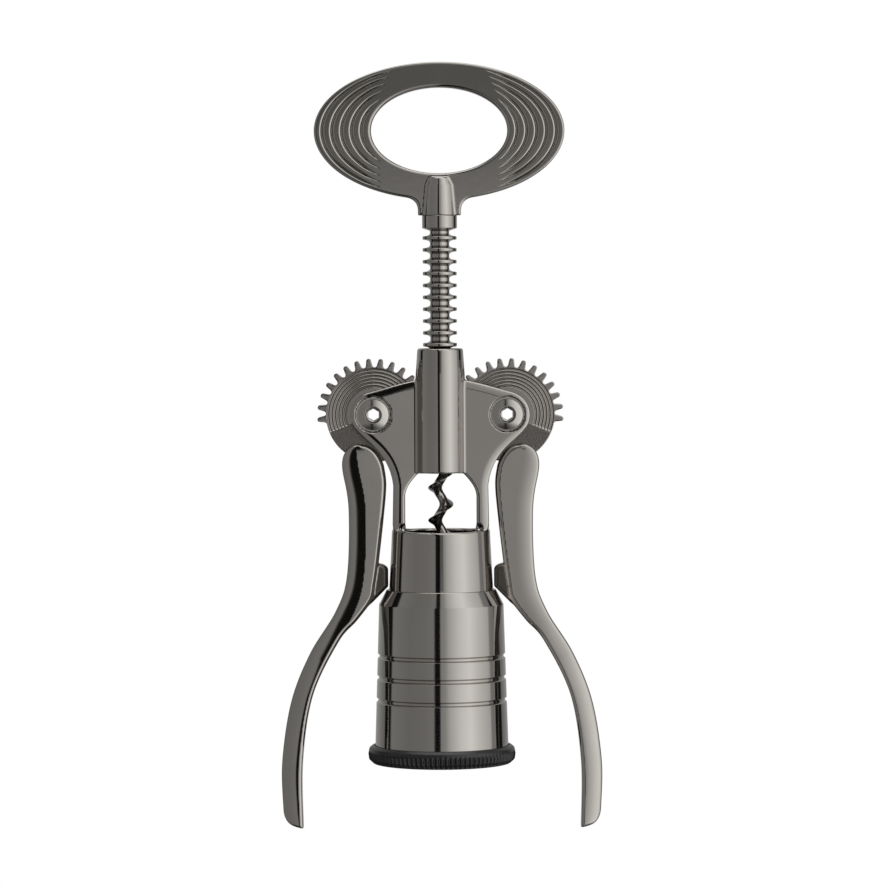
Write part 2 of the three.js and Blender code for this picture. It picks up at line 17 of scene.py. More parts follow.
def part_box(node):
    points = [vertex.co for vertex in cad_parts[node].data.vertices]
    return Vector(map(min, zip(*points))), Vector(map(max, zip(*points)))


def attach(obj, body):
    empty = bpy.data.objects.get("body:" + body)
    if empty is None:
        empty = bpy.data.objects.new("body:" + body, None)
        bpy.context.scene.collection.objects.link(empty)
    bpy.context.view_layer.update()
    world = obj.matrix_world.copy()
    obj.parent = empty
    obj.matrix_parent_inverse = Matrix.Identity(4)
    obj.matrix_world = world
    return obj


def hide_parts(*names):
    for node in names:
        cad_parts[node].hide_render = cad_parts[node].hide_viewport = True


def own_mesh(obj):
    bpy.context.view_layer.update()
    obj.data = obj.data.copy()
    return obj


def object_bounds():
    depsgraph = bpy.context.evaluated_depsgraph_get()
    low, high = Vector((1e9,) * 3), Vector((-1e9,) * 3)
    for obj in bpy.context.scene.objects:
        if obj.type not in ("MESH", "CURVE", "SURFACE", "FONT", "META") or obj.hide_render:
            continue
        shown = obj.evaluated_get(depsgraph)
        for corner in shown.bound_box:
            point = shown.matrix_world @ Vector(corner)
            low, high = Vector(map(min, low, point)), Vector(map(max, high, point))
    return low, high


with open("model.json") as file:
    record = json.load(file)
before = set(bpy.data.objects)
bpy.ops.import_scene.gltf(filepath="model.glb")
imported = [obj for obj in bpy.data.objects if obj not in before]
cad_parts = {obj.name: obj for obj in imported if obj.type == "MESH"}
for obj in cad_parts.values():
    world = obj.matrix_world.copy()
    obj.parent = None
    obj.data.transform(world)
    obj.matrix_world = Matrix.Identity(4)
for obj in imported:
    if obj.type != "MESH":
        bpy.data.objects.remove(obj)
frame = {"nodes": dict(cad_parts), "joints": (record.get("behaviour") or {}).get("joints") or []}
cad_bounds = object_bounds()

MM = 0.001
ROOT_HALF = math.sqrt(0.5)


# -------------------- places read from the frame


def box_mm(node):
    """The low and high corners of a CAD node's box, in millimetres."""
    low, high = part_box(node)
    return np.array(low) / MM, np.array(high) / MM


joints = {joint["name"]: joint for joint in frame["joints"]}
PIVOT_X = joints["lever_right_hinge"]["pos_m"][0] / MM
PIVOT_Z = joints["lever_right_hinge"]["pos_m"][2] / MM
frame_low, frame_high = box_mm("body_frame")
rack_low, rack_high = box_mm("rack")
handle_low, _ = box_mm("handle")
sleeve_low, sleeve_high = box_mm("bell_sleeve")
_, ring_high = box_mm("bell_ring")
cup_low, cup_high = box_mm("centring_cup")
spring_low, spring_high = box_mm("cup_spring")
worm_low, _ = box_mm("worm")

# -------------------- driving dimensions (mm)

COLUMN_TOP = frame_high[2]
COLUMN_BOTTOM = 102.2
COLUMN_OFFSET = 4.0
SPINDLE_BORE_RADIUS = 7.25
WINDOW_BOTTOM = 82.2
WINDOW_HALF = 12.55
SCOOP_RADIUS = 1.7
SCOOP_X, SCOOP_Y, SCOOP_RISE = 13.2, 6.0, 0.9
BARREL_TOP_RADIUS = 17.2
BARREL_RADIUS = frame_high[1]
BARREL_FLARE_Z = 61.5
BARREL_BORE = 14.6
ARM_RADIUS = 16.9
WING_HALF = 5.4
WING_ROLL = 0.065
WING_ROLL_WIDTH = 3.0
EAR_RADIUS = 8.0
SLOT_HALF = 3.0
SLOT_RADIUS = 20.6
BOLT_SEAT_RADIUS = 6.3
BOLT_SEAT_DEPTH = 1.7
BOLT_HEAD_RADIUS = 5.9
BOLT_SHANK_RADIUS = 3.5
BOLT_SHANK_GAP = 0.18
HEX_ACROSS_FLATS = 3.75

GEAR_TEETH = 28
GEAR_FIRST, GEAR_LAST = -2, 14
GEAR_PHASE = math.radians(-1.54)
GEAR_ROOT = 16.65
GEAR_HALF = 2.7
GEAR_EYE_RADIUS = 5.1
GEAR_GROOVE_PITCH = 1.18
GEAR_GROOVE_OUTER = 15.9
GEAR_GROOVES = 6
GEAR_GROOVE_DEPTH = 0.4
GEAR_GROOVES_END = math.radians(-22)

RACK_PITCH = 4.1666
RACK_FIRST_RIDGE = 184.9
RACK_RIDGES = 18
RACK_RIDGE_RADIUS = 6.0
RACK_ROOT_RADIUS = 3.38

ARM_INSET = 0.05
ARM_ROLL_WIDTH = 6.0
ARM_ROLL_SLOPE = 0.03
ARM_LIP_DEPTH, ARM_LIP_WIDTH = 0.35, 0.7
KNOB_HALF = 3.5

WORM_PITCH = 11.46
WORM_PEAK_Z = 97.0
WORM_EDGE = 4.4


# -------------------- outlines


class Outline:
    """A closed outline in X and Z, built up like a pen's path."""

    def __init__(self, x, z):
        self.points = [(x, z)]

    def line(self, x, z):
        self.points.append((x, z))
        return self

    def bezier(self, first, second, end, steps=14):
        knots = np.array([self.points[-1], first, second, end])
        for t in np.linspace(0, 1, steps + 1)[1:]:
            weights = np.array([(1 - t) ** 3, 3 * t * (1 - t) ** 2, 3 * t * t * (1 - t), t**3])
            self.points.append(tuple(weights @ knots))
        return self

    def arc(self, centre, radius, start, end, steps=24):
        for angle in np.linspace(start, end, steps + 1):
            x, z = centre[0] + radius * math.cos(angle), centre[1] + radius * math.sin(angle)
            self.points.append((x, z))
        return self

    def spline(self, *knots, steps=14):
        """A Catmull-Rom curve from the last point through the knots."""
        through = [self.points[-1], *knots]
        padded = np.array([through[0], *through, through[-1]], float)
        for a, b, c, d in zip(padded, padded[1:], padded[2:], padded[3:]):
            for t in np.linspace(0, 1, steps + 1)[1:]:
                bend = 2 * a - 5 * b + 4 * c - d
                twist = 3 * b - a - 3 * c + d
                self.points.append(tuple(0.5 * (2 * b + (c - a) * t + bend * t**2 + twist * t**3)))
        return self

    def with_mirror(self):
        """The outline of this right-hand half and its left-hand twin."""
        return self.points + [(-x, z) for x, z in reversed(self.points)]


def outline_distance(points, x, z):
    """Signed distance to a closed outline, negative inside."""
    x, z = np.broadcast_arrays(x, z)
    nearest = np.full(x.shape, np.inf)
    inside = np.zeros(x.shape, bool)
    for (ax, az), (bx, bz) in zip(points, points[1:] + points[:1]):
        ex, ez = bx - ax, bz - az
        length = ex * ex + ez * ez
        if length < 1e-12:
            continue
        t = np.clip(((x - ax) * ex + (z - az) * ez) / length, 0, 1)
        nearest = np.minimum(nearest, (x - ax - t * ex) ** 2 + (z - az - t * ez) ** 2)
        if az != bz:
            inside ^= ((az > z) != (bz > z)) & (x < ax + (z - az) * ex / (bz - az))
    return np.where(inside, -1, 1) * np.sqrt(nearest)


def tabulated(points, margin=3.0, cell=0.25):
    """outline_distance() looked up smoothly in a fine table, which is fast and rounds facets off."""
    corners = np.array(points)
    low = corners.min(0) - margin
    counts = np.ceil((corners.max(0) + margin - low) / cell).astype(int) + 1
    xs = low[0] + cell * np.arange(counts[0])
    zs = low[1] + cell * np.arange(counts[1])
    table = outline_distance(points, xs[:, None], zs[None, :])

    def weights(value, count):
        """The nearest row and the shares of the rows before, at and after it."""
        value = np.clip(value, 1, count - 2.001)
        row = np.round(value).astype(int)
        part = value - row
        return row, (0.5 * (0.5 - part) ** 2, 0.75 - part * part, 0.5 * (0.5 + part) ** 2)

    def distance(x, z):
        x, z = np.broadcast_arrays(x, z)
        i, across = weights((x - low[0]) / cell, counts[0])
        j, up = weights((z - low[1]) / cell, counts[1])
        rows = [sum(up[n] * table[i + m, j + n - 1] for n in range(3)) for m in (-1, 0, 1)]
        return sum(share * row for share, row in zip(across, rows))

    return distance


# -------------------- distance fields


def smooth_max(a, b, radius):
    blend = np.maximum(radius - np.abs(a - b), 0) / radius
    return np.maximum(a, b) + blend * blend * radius / 4


def smooth_min(a, b, radius):
    return -smooth_max(-a, -b, radius)


def smoothstep(low, high, value):
    t = np.clip((value - low) / (high - low), 0, 1)
    return t * t * (3 - 2 * t)


def slab(value, low, high):
    """Distance outside the layer between low and high."""
    return np.abs(value - (low + high) / 2) - (high - low) / 2


def bevelled_plate(edge, depth, width, steepness, soft):
    """A plate from its outline's distance and |y| minus half its thickness, with a flat bevel."""
    slope = math.hypot(1, steepness)
    bevel = (steepness * (edge + width) + depth) / slope
    return smooth_max(smooth_max(edge, depth, soft), bevel, soft)


def ellipse_distance(x, z, half_x, half_z):
    unit = np.sqrt((x / half_x) ** 2 + (z / half_z) ** 2) + 1e-9
    slope = np.sqrt((x / half_x**2) ** 2 + (z / half_z**2) ** 2) + 1e-9
    return unit * (unit - 1) / slope


def gradient(distance, points, reach):
    """The field's value and slope at each point, from four samples around it."""
    corners = np.array([(1, -1, -1), (-1, -1, 1), (-1, 1, -1), (1, 1, 1)], float)
    values = [distance(*(points + reach * corner).T) for corner in corners]
    slope = sum(value[:, None] * corner for value, corner in zip(values, corners)) / (4 * reach)
    return sum(values) / 4, slope


def even_axes(low, high, cell):
    return [np.arange(a, b + cell, cell) for a, b in zip(low, high)]


def field_mesh(distance, axes, place=None, closed_turn=False):
    """Points, outward normals and four-sided faces of the surface where the field is zero.

    The axes hold the grid's coordinates, and place() turns them into X, Y and Z. With closed_turn
    the second axis is a full turn whose last two rows repeat its first two."""
    place = place or (lambda x, y, z: (x, y, z))
    shape = tuple(len(axis) for axis in axes)
    field = np.broadcast_to(distance(*place(*np.ix_(*axes))), shape).astype(np.float32)
    inside = field < 0
    cells = tuple(n - 1 for n in shape)

    def corner(array, offset):
        return array[tuple(slice(o, o + n) for o, n in zip(offset, cells))]

    offsets = list(itertools.product((0, 1), repeat=3))
    count = sum(corner(inside, offset).astype(np.int8) for offset in offsets)
    active = (count > 0) & (count < 8)
    if closed_turn:
        active[:, -1] = False
    where = np.argwhere(active)
    total, hits = np.zeros((len(where), 3)), np.zeros(len(where))
    for a, b in itertools.combinations(offsets, 2):
        step = np.subtract(b, a)
        if np.abs(step).sum() != 1:
            continue
        first = corner(field, a)[active]
        second = corner(field, b)[active]
        crossed = (first < 0) != (second < 0)
        t = np.where(crossed, first / np.where(crossed, first - second, 1), 0)
        total += crossed[:, None] * (np.array(a) + t[:, None] * step)
        hits += crossed
    spots = (where + total / hits[:, None]).T
    spots = [np.interp(spot, np.arange(len(axis)), axis) for spot, axis in zip(spots, axes)]
    points = np.stack(place(*spots), 1)

    index = np.full(cells, -1, np.int64)
    index[active] = np.arange(len(where))
    if closed_turn:
        index[:, -1] = index[:, 0]
    faces = []
    for axis in range(3):
        u, v = (axis + 1) % 3, (axis + 2) % 3
        here = np.moveaxis(inside, (axis, u, v), (0, 1, 2))
        ids = np.moveaxis(index, (axis, u, v), (0, 1, 2))
        if closed_turn and axis == 1:
            here = here[:-1]
        start, end = here[:-1, 1:-1, 1:-1], here[1:, 1:-1, 1:-1]
        for flip, crossing in ((False, start & ~end), (True, ~start & end)):
            i, j, k = np.nonzero(crossing)
            ring = [ids[i, j, k], ids[i, j + 1, k], ids[i, j + 1, k + 1], ids[i, j, k + 1]]
            faces.append(np.stack(ring[::-1] if flip else ring, 1))
    faces = np.concatenate(faces)

    for _ in range(4):
        value, slope = gradient(distance, points, 0.02)
        move = value / np.maximum((slope**2).sum(1), 0.2)
        points -= np.clip(move, -0.25, 0.25)[:, None] * slope
    normals = gradient(distance, points, 0.06)[1]
    normals /= np.linalg.norm(normals, axis=1)[:, None] + 1e-12
    a, b, c, d = (points[faces[:, i]] for i in range(4))
    facing = (np.cross(c - a, d - b) * normals[faces[:, 0]]).sum()
    if facing < 0:
        faces = faces[:, ::-1]
    return points, normals, faces


def full_turn(fine_from, fine_to, fine, coarse):
    """Angles once round in radians, closely spaced from fine_from to fine_to degrees."""
    near = np.linspace(fine_from, fine_to, round((fine_to - fine_from) / fine) + 1)
    far = np.linspace(fine_to, fine_from + 360, round((360 - fine_to + fine_from) / coarse) + 1)
    angles = np.concatenate([near, far[1:]])
    return np.radians(np.append(angles, angles[1] + 360))


# -------------------- mesh objects


def mesh_object(name, points, faces, normals=None, attributes=None):
    """A smooth-shaded object from points in millimetres and faces that all have the same size."""
    faces = np.asarray(faces)
    mesh = bpy.data.meshes.new(name)
    mesh.vertices.add(len(points))
    mesh.vertices.foreach_set("co", (np.asarray(points) * MM).astype(np.float32).ravel())
    mesh.loops.add(faces.size)
    mesh.loops.foreach_set("vertex_index", faces.astype(np.int32).ravel())
    mesh.polygons.add(len(faces))
    mesh.polygons.foreach_set("loop_start", np.arange(0, faces.size, faces.shape[1], dtype=np.int32))
    mesh.update(calc_edges=True)
    mesh.validate()
    mesh.shade_smooth()
    if normals is not None:
        mesh.normals_split_custom_set_from_vertices(np.asarray(normals).tolist())
    for key, values in (attributes or {}).items():
        layer = mesh.attributes.new(key, "FLOAT", "POINT")
        layer.data.foreach_set("value", np.asarray(values, np.float32))
    piece = bpy.data.objects.new(name, mesh)
    bpy.context.scene.collection.objects.link(piece)
    return piece


def fit_out(piece, body, slot, material, *nodes):
    """Gives a piece its body and its material, and hides the CAD nodes that it stands for."""
    piece.data.materials.append(material)
    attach(piece, body)
    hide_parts(*nodes)
    return piece


def flipped(points, normals, faces):
    """The mirror twin across the X = 0 plane."""
    mirror = np.array([-1, 1, 1])
    return points * mirror, normals * mirror, faces[:, ::-1]


def rounded(corners, radius=0.25, steps=3, closed=True):
    """A profile's corners cut by arcs: rows of radius, height and the outward normal's two parts.

    The profile runs anticlockwise in radius and height. A corner may hold its own arc radius."""
    rows = []
    count = len(corners)
    for i, corner in enumerate(corners):
        here = np.array(corner[:2], float)
        if not closed and i in (0, count - 1):
            other = np.array(corners[1 if i == 0 else i - 1][:2], float)
            along = (other - here) if i == 0 else (here - other)
            along /= np.linalg.norm(along)
            rows.append((*here, along[1], -along[0]))
            continue
        back = np.array(corners[i - 1][:2], float) - here
        ahead = np.array(corners[(i + 1) % count][:2], float) - here
        back_length, ahead_length = np.linalg.norm(back), np.linalg.norm(ahead)
        back, ahead = back / back_length, ahead / ahead_length
        turn = math.acos(np.clip(-back @ ahead, -1, 1))
        first, last = np.array([-back[1], back[0]]), np.array([ahead[1], -ahead[0]])
        if turn < 0.02:
            rows.append((*here, *last))
            continue
        wanted = corner[2] if len(corner) > 2 else radius
        cut = min(wanted * math.tan(turn / 2), 0.45 * back_length, 0.45 * ahead_length)
        for t in np.linspace(0, 1, steps + 1):
            normal = first * (1 - t) + last * t
            normal /= np.linalg.norm(normal)
            weights = np.array([(1 - t) ** 2, 2 * t * (1 - t), t * t])
            spot = weights @ np.array([here + back * cut, here, here + ahead * cut])
            rows.append((*spot, *normal))
    return rows


def revolved(rows, segments=160, closed=True):
    """Points, normals and faces of rounded() rows swept round Z."""
    table = np.array(rows)
    angles = np.linspace(0, 2 * math.pi, segments, endpoint=False)
    cos, sin = np.cos(angles)[:, None], np.sin(angles)[:, None]

    def spread(radial, axial):
        return np.stack([cos * radial, sin * radial, np.broadcast_to(axial, (segments, len(axial)))], 2)

    points = spread(table[:, 0], table[:, 1]).reshape(-1, 3)
    normals = spread(table[:, 2], table[:, 3]).reshape(-1, 3)
    width = len(rows)
    last = width if closed else width - 1
    i, j = np.meshgrid(np.arange(segments), np.arange(last), indexing="ij")
    a, b = i * width + j, i * width + (j + 1) % width
    c, d = ((i + 1) % segments) * width + (j + 1) % width, ((i + 1) % segments) * width + j
    faces = np.stack([a, d, c, b], 2).reshape(-1, 4)
    return points, normals, faces


def along_y(points, normals, x, z, front=True):
    """Turns a piece made round Z so that its +Z end looks to the front or the back at x, z."""
    sign = -1 if front else 1
    turn = np.array([[1, 0, 0], [0, 0, sign], [0, -sign, 0]], float)
    return points @ turn.T + np.array([x, 0, z]), normals @ turn.T


def turned(name, corners, radius, steps, segments, closed=True, pivot=None):
    """A rounded profile swept round Z as an object, or round a pivot's axis at x, z, front or back."""
    points, normals, faces = revolved(rounded(corners, radius, steps, closed), segments, closed)
    if pivot:
        points, normals = along_y(points, normals, *pivot)
    return mesh_object(name, points, faces, normals)


def skin(rings):
    """Points and faces of a closed solid through rings of points, an even number in each."""
    count = rings.shape[1]
    i, j = np.meshgrid(np.arange(len(rings) - 1), np.arange(count), indexing="ij")
    a, b = i * count + j, i * count + (j + 1) % count
    sides = np.stack([a, a + count, b + count, b], 2).reshape(-1, 4)
    points = np.concatenate([*rings, rings[0].mean(0)[None], rings[-1].mean(0)[None]])
    start, end = len(points) - 2, len(points) - 1
    j = np.arange(0, count, 2)
    last = (len(rings) - 1) * count
    foot = np.stack([np.full_like(j, start), j, (j + 1) % count, (j + 2) % count], 1)
    head = np.stack([np.full_like(j, end), last + (j + 2) % count, last + (j + 1) % count, last + j], 1)
    return points, np.concatenate([sides, foot, head])


# -------------------- materials


class Nodes:
    """A short way to add and link shader nodes."""

    def __init__(self, tree):
        self.tree = tree

    def add(self, kind, inputs=None, **settings):
        node = self.tree.nodes.new(kind)
        for key, value in settings.items():
            setattr(node, key, value)
        for key, value in (inputs or {}).items():
            if isinstance(value, bpy.types.NodeSocket):
                self.link(value, node.inputs[key])
            else:
                node.inputs[key].default_value = value
        return node

    def math(self, operation, first, second=0.0):
        return self.add("ShaderNodeMath", {0: first, 1: second}, operation=operation).outputs[0]

    def scaled(self, vector, scale):
        return self.add("ShaderNodeVectorMath", {0: vector, 1: scale}, operation="MULTIPLY").outputs[0]

    def noise(self, vector, scale, detail=3.0):
        inputs = {"Vector": vector, "Scale": scale, "Detail": detail}
        return self.add("ShaderNodeTexNoise", inputs).outputs["Fac"]

    def ranged(self, value, low, high, to_low=0.0, to_high=1.0):
        """Maps low to high onto to_low to to_high, and holds the ends."""
        inputs = {"Value": value, "From Min": low, "From Max": high, "To Min": to_low, "To Max": to_high}
        return self.add("ShaderNodeMapRange", inputs).outputs[0]

    def spread(self, value, low, high):
        """Maps 0 to 1 onto low to high."""
        return self.ranged(value, 0.0, 1.0, low, high)

    def mixed(self, factor, first, second):
        inputs = {"Factor": factor, "A": first, "B": second}
        return self.add("ShaderNodeMix", inputs, data_type="RGBA").outputs["Result"]

    def link(self, source, target):
        self.tree.links.new(source, target)


def new_material(name, metallic=1.0):
    """A material, its nodes, its shader and the object coordinates."""
    material = bpy.data.materials.new(name)
    material.use_nodes = True
    nodes = Nodes(material.node_tree)
    shader = material.node_tree.nodes["Principled BSDF"]
    shader.inputs["Metallic"].default_value = metallic
    where = nodes.add("ShaderNodeTexCoord").outputs["Object"]
    return material, nodes, shader, where


def tinted(nodes, shader, vector, dark, light, scale):
    """Lets the base colour drift a little between two tints."""
    tint = nodes.mixed(nodes.noise(vector, scale, 4.0), (*dark, 1), (*light, 1))
    nodes.link(tint, shader.inputs["Base Color"])


def surfaced(nodes, shader, rough, height, depth_mm):
    """Gives the shader its roughness and a bump that is depth_mm deep where height is 1."""
    bump = nodes.add("ShaderNodeBump", {"Height": height, "Distance": depth_mm * MM, "Strength": 1.0})
    nodes.link(rough, shader.inputs["Roughness"])
    nodes.link(bump.outputs["Normal"], shader.inputs["Normal"])


# Dark tint for the gear's unpolished as-cast patch; on the levers' stop knobs it is painted shade.
AS_CAST_AND_SHADE = (0.045, 0.036, 0.03, 1)


def darkened_for_cast_and_shade(nodes, shader, share=0.8):
    """Darkens the base colour where the mesh marks it: the gear's as-cast patch and the stop knobs'
    painted shade.
    """
    cast_and_shade = nodes.add("ShaderNodeAttribute", attribute_name="cast_and_shade").outputs["Fac"]
    polished = shader.inputs["Base Color"].links[0].from_socket
    tint = nodes.mixed(nodes.math("MULTIPLY", cast_and_shade, share), polished, AS_CAST_AND_SHADE)
    nodes.link(tint, shader.inputs["Base Color"])
    return cast_and_shade


def black_chrome():
    """Casting plated black chrome: faintly uneven where it was buffed; the levers' stop knobs are darkened
    as painted shade and made duller.
    """
    material, nodes, shader, where = new_material("black_chrome_casting")
    tinted(nodes, shader, where, (0.40, 0.378, 0.35), (0.45, 0.43, 0.402), 60.0)
    cast_and_shade = darkened_for_cast_and_shade(nodes, shader)
    smear = nodes.spread(nodes.noise(where, 220.0), 0.045, 0.085)
    rough = nodes.math("ADD", smear, nodes.math("MULTIPLY", cast_and_shade, 0.3))
    surfaced(nodes, shader, rough, nodes.noise(where, 250.0, 2.0), 0.004)
    return material


def gear_metal():
    """The gear sector: polished, with an as-cast patch between the face grooves and the arm."""
    material, nodes, shader, where = new_material("black_chrome_gear")
    tinted(nodes, shader, where, (0.36, 0.34, 0.315), (0.43, 0.41, 0.385), 90.0)
    cast_and_shade = darkened_for_cast_and_shade(nodes, shader, 0.55)
    grain = nodes.math("MULTIPLY", nodes.noise(where, 1500.0, 5.0), nodes.spread(cast_and_shade, 0.003, 1.0))
    surfaced(nodes, shader, nodes.spread(cast_and_shade, 0.1, 0.4), grain, 0.12)
    return material


def turned_metal(name="black_chrome_turned", roughness=0.065, lines=2600.0, depth=0.004):
    """Turned and plated metal with fine rings round the spindle axis."""
    material, nodes, shader, where = new_material(name)
    tinted(nodes, shader, where, (0.40, 0.38, 0.352), (0.45, 0.43, 0.402), 45.0)
    rings = nodes.noise(nodes.scaled(where, (0.004, 0.004, 1.0)), lines, 3.0)
    rough = nodes.spread(rings, roughness - 0.03, roughness + 0.06)
    surfaced(nodes, shader, rough, rings, depth)
    return material


def faced_metal(name, centre_x):
    """A bolt's face with fine rings round its own axis."""
    material, nodes, shader, where = new_material(name)
    tinted(nodes, shader, where, (0.42, 0.40, 0.372), (0.5, 0.48, 0.45), 120.0)
    centre = (centre_x * MM, 0, PIVOT_Z * MM)
    centred = nodes.add("ShaderNodeVectorMath", {0: where, 1: centre}, operation="SUBTRACT").outputs[0]
    flat = nodes.scaled(centred, (1, 0, 1))
    radius = nodes.add("ShaderNodeVectorMath", {0: flat}, operation="LENGTH").outputs["Value"]
    across = nodes.add("ShaderNodeCombineXYZ", {"X": radius}).outputs[0]
    rings = nodes.noise(across, 5200.0, 3.0)
    surfaced(nodes, shader, nodes.spread(rings, 0.1, 0.22), rings, 0.012)
    return material


def plain_metal(name, dark, light, roughness, grain):
    """Unpolished metal with a fine even grain."""
    material, nodes, shader, where = new_material(name)
    tinted(nodes, shader, where, dark, light, 150.0)
    speckle = nodes.noise(where, grain, 4.0)
    rough = nodes.spread(speckle, roughness - 0.06, roughness + 0.08)
    surfaced(nodes, shader, rough, speckle, 0.008)
    return material


def moulded(name, dark, light, roughness, grain, depth):
    """Black rubber or plastic with a fine moulded grain."""
    material, nodes, shader, where = new_material(name, metallic=0.0)
    tinted(nodes, shader, where, dark, light, 200.0)
    speckle = nodes.noise(where, grain, 4.0)
    rough = nodes.spread(speckle, roughness - 0.08, roughness + 0.1)
    surfaced(nodes, shader, rough, speckle, depth)
    return material


CASTING = black_chrome()
GEAR = gear_metal()
TURNED = turned_metal()
RIDGED = turned_metal("black_chrome_rack", 0.07, 1400.0, 0.002)
WORM_STEEL = plain_metal("dark_steel", (0.34, 0.32, 0.30), (0.42, 0.40, 0.375), 0.2, 300.0)
BRONZE = plain_metal("sintered_bronze", (0.34, 0.22, 0.09), (0.5, 0.35, 0.17), 0.42, 2400.0)
SPRING_STEEL = plain_metal("spring_steel", (0.42, 0.42, 0.41), (0.55, 0.55, 0.54), 0.25, 900.0)
RUBBER = moulded("black_rubber", (0.012, 0.012, 0.012), (0.026, 0.026, 0.026), 0.32, 1600.0, 0.012)
PLASTIC = moulded("black_plastic", (0.014, 0.014, 0.014), (0.024, 0.024, 0.024), 0.5, 1100.0, 0.015)


# -------------------- frame casting


def wing_outline():
    centre = (PIVOT_X, PIVOT_Z)
    half = Outline(0, 135.2).line(8.4, 135.0)
    half.bezier((14.5, 134.0), (19.5, 132.2), (25.2, 130.73))
    half.arc(centre, EAR_RADIUS, 1.36, -0.78, 30)
    half.bezier((25.5, 112.5), (18.0, 109.5), (16.7, 98.0), 20)
    half.line(BARREL_TOP_RADIUS - 0.2, WINDOW_BOTTOM).line(BARREL_TOP_RADIUS - 0.2, WINDOW_BOTTOM - 5)
    half.line(0, WINDOW_BOTTOM - 5)
    return half.with_mirror()


def window_outline():
    half = Outline(0, WINDOW_BOTTOM).line(WINDOW_HALF - 2.6, WINDOW_BOTTOM)
    half.bezier((WINDOW_HALF - 0.6, WINDOW_BOTTOM), (WINDOW_HALF, WINDOW_BOTTOM + 0.6),
                (WINDOW_HALF, WINDOW_BOTTOM + 2.6), 8)
    half.line(WINDOW_HALF, COLUMN_BOTTOM - 8.5)
    half.bezier((WINDOW_HALF, COLUMN_BOTTOM - 5), (10.4, COLUMN_BOTTOM - 2.6), (8.0, COLUMN_BOTTOM))
    half.line(0, COLUMN_BOTTOM)
    return half.with_mirror()


def frame_field():
    """Wings, column and barrel in one casting, with the window, bores, lever slots and bolt seats."""
    wing = tabulated(wing_outline())
    window = tabulated(window_outline())
    column_heights = [COLUMN_BOTTOM, 137.5, COLUMN_TOP]
    column_radii = [8.2, 8.15, 7.85]
    shoulder_heights = [COLUMN_BOTTOM, 128, 136, COLUMN_TOP]
    shoulder_halves = [7.9, 8.3, 8.7, 7.9]

    def distance(x, y, z):
        side, deep = np.abs(x), np.abs(y)
        edge = wing(x, z)
        roll = WING_ROLL * np.maximum(WING_ROLL_WIDTH + edge, 0) ** 2
        plate = smooth_max(edge, deep - WING_HALF + roll, 0.5)
        radius = np.sqrt(x * x + y * y)
        plate = smooth_max(plate, radius - ARM_RADIUS - 0.5 * np.maximum(z - WINDOW_BOTTOM, 0), 0.8)
        past = np.maximum(deep - COLUMN_OFFSET, 0)
        round_front = np.sqrt(x * x + past * past) - np.interp(z, column_heights, column_radii)
        shoulder = side - np.interp(z, shoulder_heights, shoulder_halves)
        middle = smooth_max(shoulder, deep - COLUMN_OFFSET, 0.6)
        column = smooth_min(round_front, middle, 0.5)
        column = smooth_max(column, slab(z, COLUMN_BOTTOM, COLUMN_TOP), 0.7)
        wall = np.interp(z, [BARREL_FLARE_Z, WINDOW_BOTTOM], [BARREL_RADIUS, BARREL_TOP_RADIUS])
        barrel = smooth_max(radius - wall, slab(z, frame_low[2], WINDOW_BOTTOM), 0.6)
        body = smooth_min(smooth_min(plate, barrel, 0.9), column, 0.9)
        body = smooth_max(body, -window(x, z), 0.9)
        bore = smooth_max(radius - BARREL_BORE, z - WINDOW_BOTTOM - 0.5, 0.4)
        body = smooth_max(body, -bore, 0.7)
        above_scoop = z - WINDOW_BOTTOM - SCOOP_RISE
        from_scoop = np.sqrt((side - SCOOP_X) ** 2 + (deep - SCOOP_Y) ** 2 + above_scoop**2)
        body = smooth_max(body, SCOOP_RADIUS - from_scoop, 0.25)
        spindle_bore = smooth_max(radius - SPINDLE_BORE_RADIUS, COLUMN_BOTTOM - 4 - z, 0.2)
        body = smooth_max(body, -spindle_bore, 0.4)
        from_pivot = np.sqrt((side - PIVOT_X) ** 2 + (z - PIVOT_Z) ** 2)
        slot = smooth_max(from_pivot - SLOT_RADIUS, deep - SLOT_HALF, 0.3)
        body = smooth_max(body, -slot, 0.4)
        seat = smooth_max(from_pivot - BOLT_SEAT_RADIUS, WING_HALF - BOLT_SEAT_DEPTH - deep, 0.2)
        body = smooth_max(body, -seat, 0.35)
        return smooth_max(body, BOLT_SHANK_RADIUS + BOLT_SHANK_GAP - from_pivot, 0.2)

    return distance


def make_frame():
    axes = even_axes(frame_low - 1.0, frame_high + 1.0, 0.5)
    points, normals, faces = field_mesh(frame_field(), axes)
    piece = mesh_object("frame_casting", points, faces, normals)
    return fit_out(piece, "frame", "casting", CASTING, "body_frame")


# -------------------- levers


def arm_outline():
    arm = Outline(28.3, 112.6)
    arm.bezier((32.6, 112.6), (35.8, 109.2), (34.4, 102.2))
    arm.spline((32.5, 89.5), (33.2, 66.3), (37.3, 53.6), (46.4, 38.8), (53.1, 21.9), (56.4, 0.7),
               (56.1, -16.2))
    arm.bezier((55.7, -21.0), (53.4, -22.3), (48.9, -23.0))
    arm.spline((49.0, 0.7), (45.3, 24), (36.1, 43), (29.6, 50.5), (24.2, 57.8), (23.0, 63.2), (21.9, 70.5))
    arm.spline((20.2, 85.3), (19.1, 98), (19.9, 105))
    arm.bezier((20.8, 107.9), (22.8, 111.6), (26.4, 112.45))
    return arm.points


